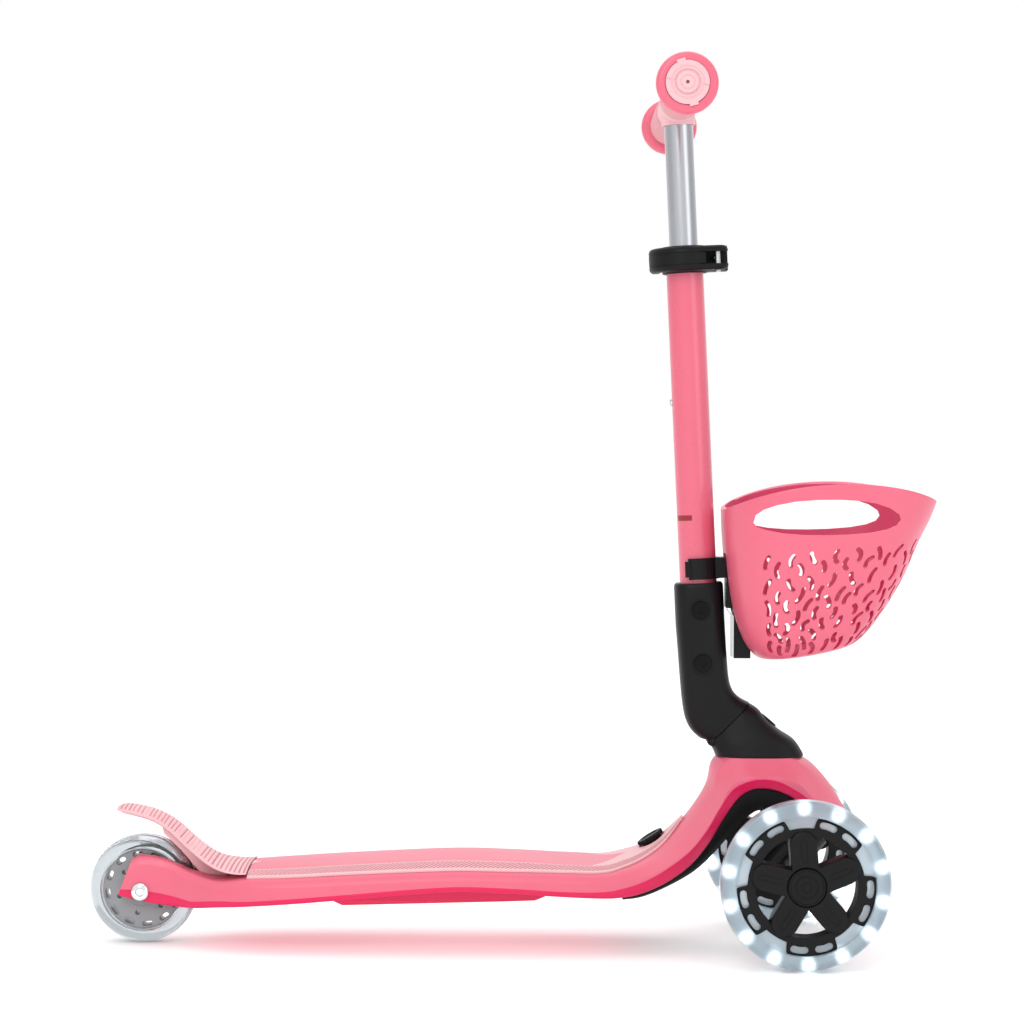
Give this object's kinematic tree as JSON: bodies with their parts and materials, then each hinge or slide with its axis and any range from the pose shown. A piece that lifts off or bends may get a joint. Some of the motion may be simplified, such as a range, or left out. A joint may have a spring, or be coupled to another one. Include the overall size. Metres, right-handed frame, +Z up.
{
  "type": "kick scooter",
  "caption": "Child's three-wheeled kick scooter with lean steering, a folding height-adjustable handlebar, a foot brake and a lift-off front basket.",
  "frame": {"origin": "on the ground under the middle of the scooter's length and width", "axes": "+X forward from the rear wheel to the front wheels, +Y to the rider's left, +Z up"},
  "size_m": [0.623, 0.283, 0.6408],
  "materials": {
    "black_plastic": "fine-grained matt",
    "blush_plastic": "soft matt plastic",
    "clear_urethane": "clear cast urethane",
    "coral_paint": "gloss paint over steel tube",
    "coral_plastic": "satin moulded plastic",
    "crimson_plastic": "satin moulded plastic",
    "grey_plastic": "satin moulded plastic",
    "rubber": "matt",
    "silver_alloy": "bright anodised",
    "steel": "plated"
  },
  "bodies": {
    "deck": {"deck_shell": "coral_plastic", "deck_tread": "blush_plastic", "deck_reinforcement": "steel", "underside_panel": "crimson_plastic", "panel_screw_rear": "steel", "panel_screw_front": "steel", "nose_undercover": "black_plastic", "column_base": "black_plastic", "fold_pin": "steel", "rear_axle_bolt": "steel", "rear_axle_nut": "steel", "rear_spacer": "steel", "brake_pin": "steel", "kingpin": "steel"},
    "rear_wheel": {"rear_tyre": "clear_urethane", "rear_core": "grey_plastic", "rear_bearing_left": "steel", "rear_bearing_right": "steel"},
    "brake": {"brake_fender": "blush_plastic"},
    "truck": {"truck_beam": "black_plastic", "truck_bush": "rubber", "front_axle_left": "steel", "front_axle_right": "steel", "magnet_sleeve_left": "steel", "magnet_sleeve_right": "steel"},
    "front_wheel_left": {"front_tyre_left": "clear_urethane", "front_core_left": "black_plastic", "front_bearing_left_inner": "steel", "front_bearing_left_outer": "steel", "hub_cap_left": "black_plastic"},
    "front_wheel_right": {"front_tyre_right": "clear_urethane", "front_core_right": "black_plastic", "front_bearing_right_inner": "steel", "front_bearing_right_outer": "steel", "hub_cap_right": "black_plastic"},
    "steering_lock": {"steering_lock_button": "black_plastic"},
    "fold_release": {"fold_release_button": "black_plastic"},
    "column": {"column_sleeve": "black_plastic", "sleeve_bolt_lower": "black_plastic", "sleeve_bolt_upper": "black_plastic", "sleeve_nut_lower": "black_plastic", "sleeve_nut_upper": "black_plastic", "outer_tube": "coral_paint", "guide_bush": "black_plastic", "clamp_collar": "black_plastic", "clamp_bolt": "steel", "clamp_pin": "steel", "basket_bracket": "black_plastic", "bracket_plate": "steel"},
    "height_button": {"spring_button": "steel"},
    "clamp": {"clamp_lever": "black_plastic"},
    "handlebar": {"inner_tube": "silver_alloy", "handlebar_core": "blush_plastic", "grip_left": "blush_plastic", "grip_right": "blush_plastic", "bumper_left": "coral_plastic", "bumper_right": "coral_plastic", "end_plug_left": "blush_plastic", "end_plug_right": "blush_plastic"},
    "basket": {"basket": "coral_plastic"}
  },
  "joints": [
    {"name": "rear_wheel_spin", "type": "hinge", "parent": "deck", "child": "rear_wheel", "pos_m": [-0.271, 0, 0.04], "axis": [0, 1, 0], "continuous": true},
    {"name": "brake_press", "type": "hinge", "parent": "deck", "child": "brake", "pos_m": [-0.213, 0, 0.0465], "axis": [0, -1, 0], "range_deg": [0, 1.9], "stiffness_Nm_per_rad": 0.5, "springref_deg": -11.46},
    {"name": "truck_lean", "type": "hinge", "parent": "deck", "child": "truck", "pos_m": [0.2, 0, 0.0605], "axis": [0.6428, 0, 0.766], "range_deg": [-12, 12], "stiffness_Nm_per_rad": 8},
    {"name": "front_wheel_left_spin", "type": "hinge", "parent": "truck", "child": "front_wheel_left", "pos_m": [0.21, 0.1, 0.0605], "axis": [0, 1, 0], "continuous": true},
    {"name": "front_wheel_right_spin", "type": "hinge", "parent": "truck", "child": "front_wheel_right", "pos_m": [0.21, -0.1, 0.0605], "axis": [0, 1, 0], "continuous": true},
    {"name": "steering_lock_press", "type": "slide", "parent": "deck", "child": "steering_lock", "axis": [0.5299, 0, -0.848], "range_m": [0, 0.0025]},
    {"name": "fold_release_press", "type": "slide", "parent": "deck", "child": "fold_release", "axis": [-0.6428, 0, -0.766], "range_m": [0, 0.003], "stiffness_N_per_m": 400, "springref_m": -0.001},
    {"name": "column_fold", "type": "hinge", "parent": "deck", "child": "column", "pos_m": [0.1493, 0, 0.1524], "axis": [0, -1, 0], "range_deg": [0, 88]},
    {"name": "height_button_press", "type": "slide", "parent": "column", "child": "height_button", "axis": [0.9988, 0, 0.0489], "range_m": [0, 0.0012], "stiffness_N_per_m": 350, "springref_m": -0.0005},
    {"name": "clamp_swing", "type": "hinge", "parent": "column", "child": "clamp", "pos_m": [0.15096, -0.015, 0.50723], "axis": [-0.0489, 0, 0.9988], "range_deg": [0, 100]},
    {"name": "handlebar_height", "type": "slide", "parent": "column", "child": "handlebar", "axis": [-0.0489, 0, 0.9988], "range_m": [-0.05, 0.05]},
    {"name": "basket_lift", "type": "slide", "parent": "column", "child": "basket", "axis": [0, 0, 1], "range_m": [0, 0.09]}
  ]
}
